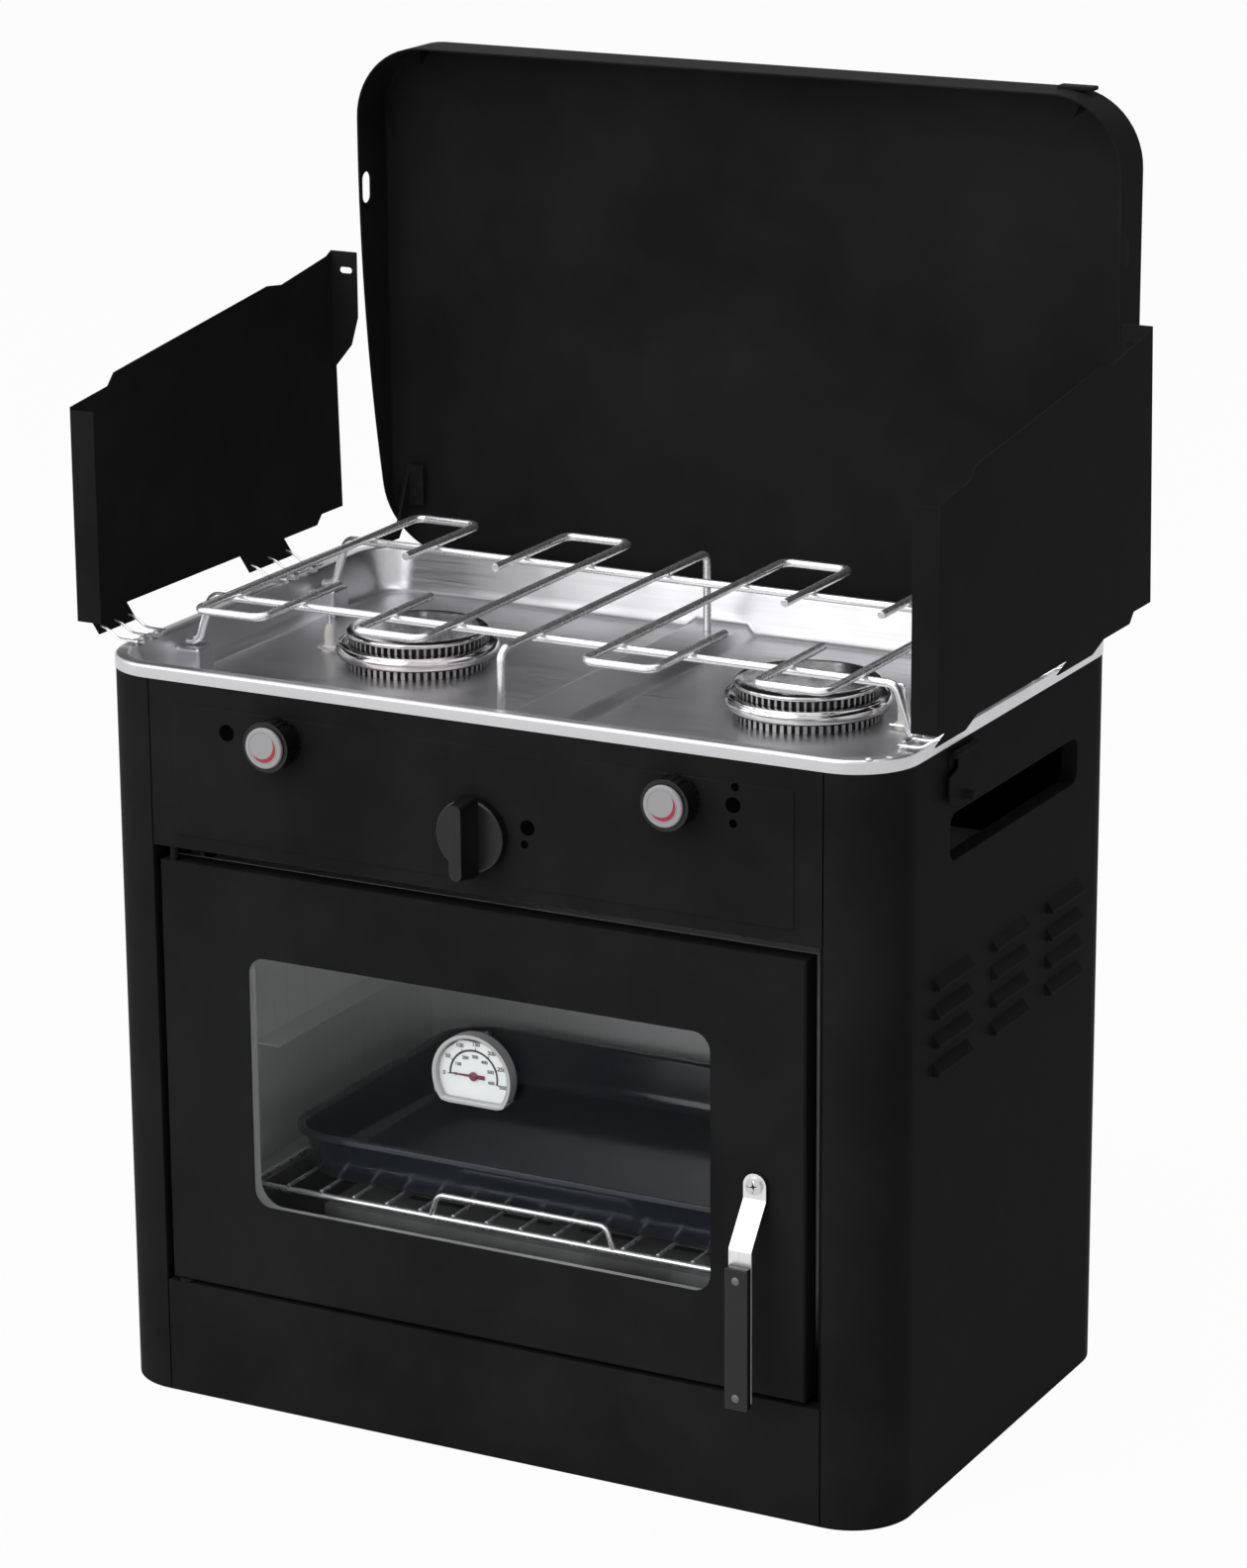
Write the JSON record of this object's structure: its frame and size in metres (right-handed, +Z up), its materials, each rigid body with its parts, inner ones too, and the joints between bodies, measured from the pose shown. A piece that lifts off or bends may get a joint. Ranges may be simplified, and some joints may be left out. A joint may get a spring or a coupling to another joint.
{
  "type": "camping stove with oven",
  "caption": "Two-burner gas camping hob on a small oven with a glazed door, hinged lid, folding windshields and wire pan support.",
  "frame": {"origin": "middle of the underside of the base panel, where the stove stands", "axes": "+X to the right seen from the front, -Y out of the front, +Z up"},
  "size_m": [0.561, 0.3853, 0.7825],
  "materials": {
    "black_paint": "satin",
    "tray_steel": "satin",
    "burner_steel": "satin",
    "liner_steel": "satin",
    "plated_wire": "polished",
    "brass": "satin",
    "aluminium": "satin",
    "enamel": "gloss",
    "window_glass": "polished",
    "gasket": "matte",
    "ceramic": "gloss",
    "black_plastic": "matte",
    "dial_white": "gloss",
    "red_plastic": "gloss"
  },
  "bodies": {
    "cabinet": {"base_panel": "black_paint", "left_side_panel": "black_paint", "right_side_panel": "black_paint", "back_panel": "black_paint", "control_panel": "black_paint", "lower_front_panel": "black_paint", "catch_brackets": "black_paint", "hob_tray": "tray_steel", "left_burner_body": "burner_steel", "right_burner_body": "burner_steel", "left_burner_ring": "burner_steel", "right_burner_ring": "burner_steel", "left_burner_cap": "burner_steel", "right_burner_cap": "burner_steel", "spark_ceramics": "ceramic", "spark_wires": "plated_wire", "left_hob_valve": "brass", "right_hob_valve": "brass", "oven_valve": "brass", "gas_rail": "tray_steel", "gas_inlet": "brass", "oven_pipe": "aluminium", "oven_burner": "tray_steel", "oven_liner": "liner_steel", "liner_bearers": "liner_steel", "rack_rails": "liner_steel", "heat_spreader": "liner_steel", "lid_hinge_ears": "black_paint", "left_windshield_saddles": "tray_steel", "right_windshield_saddles": "tray_steel"},
    "lid": {"lid_shell": "black_paint", "lid_hinge_arms": "black_paint"},
    "left_shield": {"left_windshield": "black_paint", "left_windshield_clips": "plated_wire"},
    "right_shield": {"right_windshield": "black_paint", "right_windshield_clips": "plated_wire"},
    "left_catch": {"left_lid_catch": "black_paint"},
    "right_catch": {"right_lid_catch": "black_paint"},
    "door": {"door_outer_panel": "black_paint", "door_inner_panel": "liner_steel", "door_glass": "window_glass", "glass_gasket": "gasket", "door_hinge_pins": "plated_wire", "thermometer_case": "tray_steel", "thermometer_dial": "dial_white", "thermometer_lens": "window_glass"},
    "latch": {"latch_strip": "tray_steel", "latch_grip": "black_plastic", "latch_spindle": "tray_steel"},
    "needle": {"thermometer_needle": "red_plastic"},
    "rack": {"oven_rack": "plated_wire"},
    "pan": {"roasting_pan": "enamel"},
    "support": {"pan_support": "plated_wire", "left_support_loops": "plated_wire", "right_support_loops": "plated_wire"},
    "left_knob": {"left_hob_knob": "black_plastic", "left_knob_cap": "dial_white"},
    "right_knob": {"right_hob_knob": "black_plastic", "right_knob_cap": "dial_white"},
    "oven_control": {"oven_knob": "black_plastic"}
  },
  "joints": [
    {"name": "lid_hinge", "type": "hinge", "parent": "cabinet", "child": "lid", "pos_m": [0, 0.1521, 0.4649], "axis": [-1, 0, 0], "range_deg": [-90, 0]},
    {"name": "left_shield_fold", "type": "hinge", "parent": "cabinet", "child": "left_shield", "pos_m": [-0.25, 0, 0.4612], "axis": [0, -1, 0], "range_deg": [-90, 0]},
    {"name": "right_shield_fold", "type": "hinge", "parent": "cabinet", "child": "right_shield", "pos_m": [0.25, 0, 0.4612], "axis": [0, 1, 0], "range_deg": [-90, 0]},
    {"name": "left_catch_flip", "type": "hinge", "parent": "cabinet", "child": "left_catch", "pos_m": [-0.2636, -0.0715, 0.446], "axis": [0, -1, 0], "range_deg": [-180, 0]},
    {"name": "right_catch_flip", "type": "hinge", "parent": "cabinet", "child": "right_catch", "pos_m": [0.2636, -0.0715, 0.446], "axis": [0, 1, 0], "range_deg": [-180, 0]},
    {"name": "door_swing", "type": "hinge", "parent": "cabinet", "child": "door", "pos_m": [-0.208, -0.161, 0.2], "axis": [0, 0, -1], "range_deg": [0, 110]},
    {"name": "latch_turn", "type": "hinge", "parent": "door", "child": "latch", "pos_m": [0.18, -0.165, 0.203], "axis": [0, 1, 0], "range_deg": [0, 90]},
    {"name": "needle_turn", "type": "hinge", "parent": "door", "child": "needle", "pos_m": [-0.001, -0.169, 0.2397], "axis": [0, 1, 0], "range_deg": [0, 190]},
    {"name": "rack_slide", "type": "slide", "parent": "cabinet", "child": "rack", "axis": [0, -1, 0], "range_m": [0, 0.08]},
    {"name": "pan_lift", "type": "slide", "parent": "rack", "child": "pan", "axis": [0, 0, 1], "range_m": [0, 0.04]},
    {"name": "support_lift", "type": "slide", "parent": "cabinet", "child": "support", "axis": [0, 0, 1], "range_m": [0, 0.08]},
    {"name": "left_knob_turn", "type": "hinge", "parent": "cabinet", "child": "left_knob", "pos_m": [-0.13, -0.165, 0.424], "axis": [0, 1, 0], "range_deg": [-220, 0]},
    {"name": "right_knob_turn", "type": "hinge", "parent": "cabinet", "child": "right_knob", "pos_m": [0.13, -0.165, 0.424], "axis": [0, 1, 0], "range_deg": [-220, 0]},
    {"name": "oven_knob_turn", "type": "hinge", "parent": "cabinet", "child": "oven_control", "pos_m": [0, -0.165, 0.386], "axis": [0, 1, 0], "range_deg": [-220, 0]}
  ],
  "couplings": [
    {"joint": "rack_slide", "follows": "door_swing", "m_per_rad": 0.041669}
  ]
}
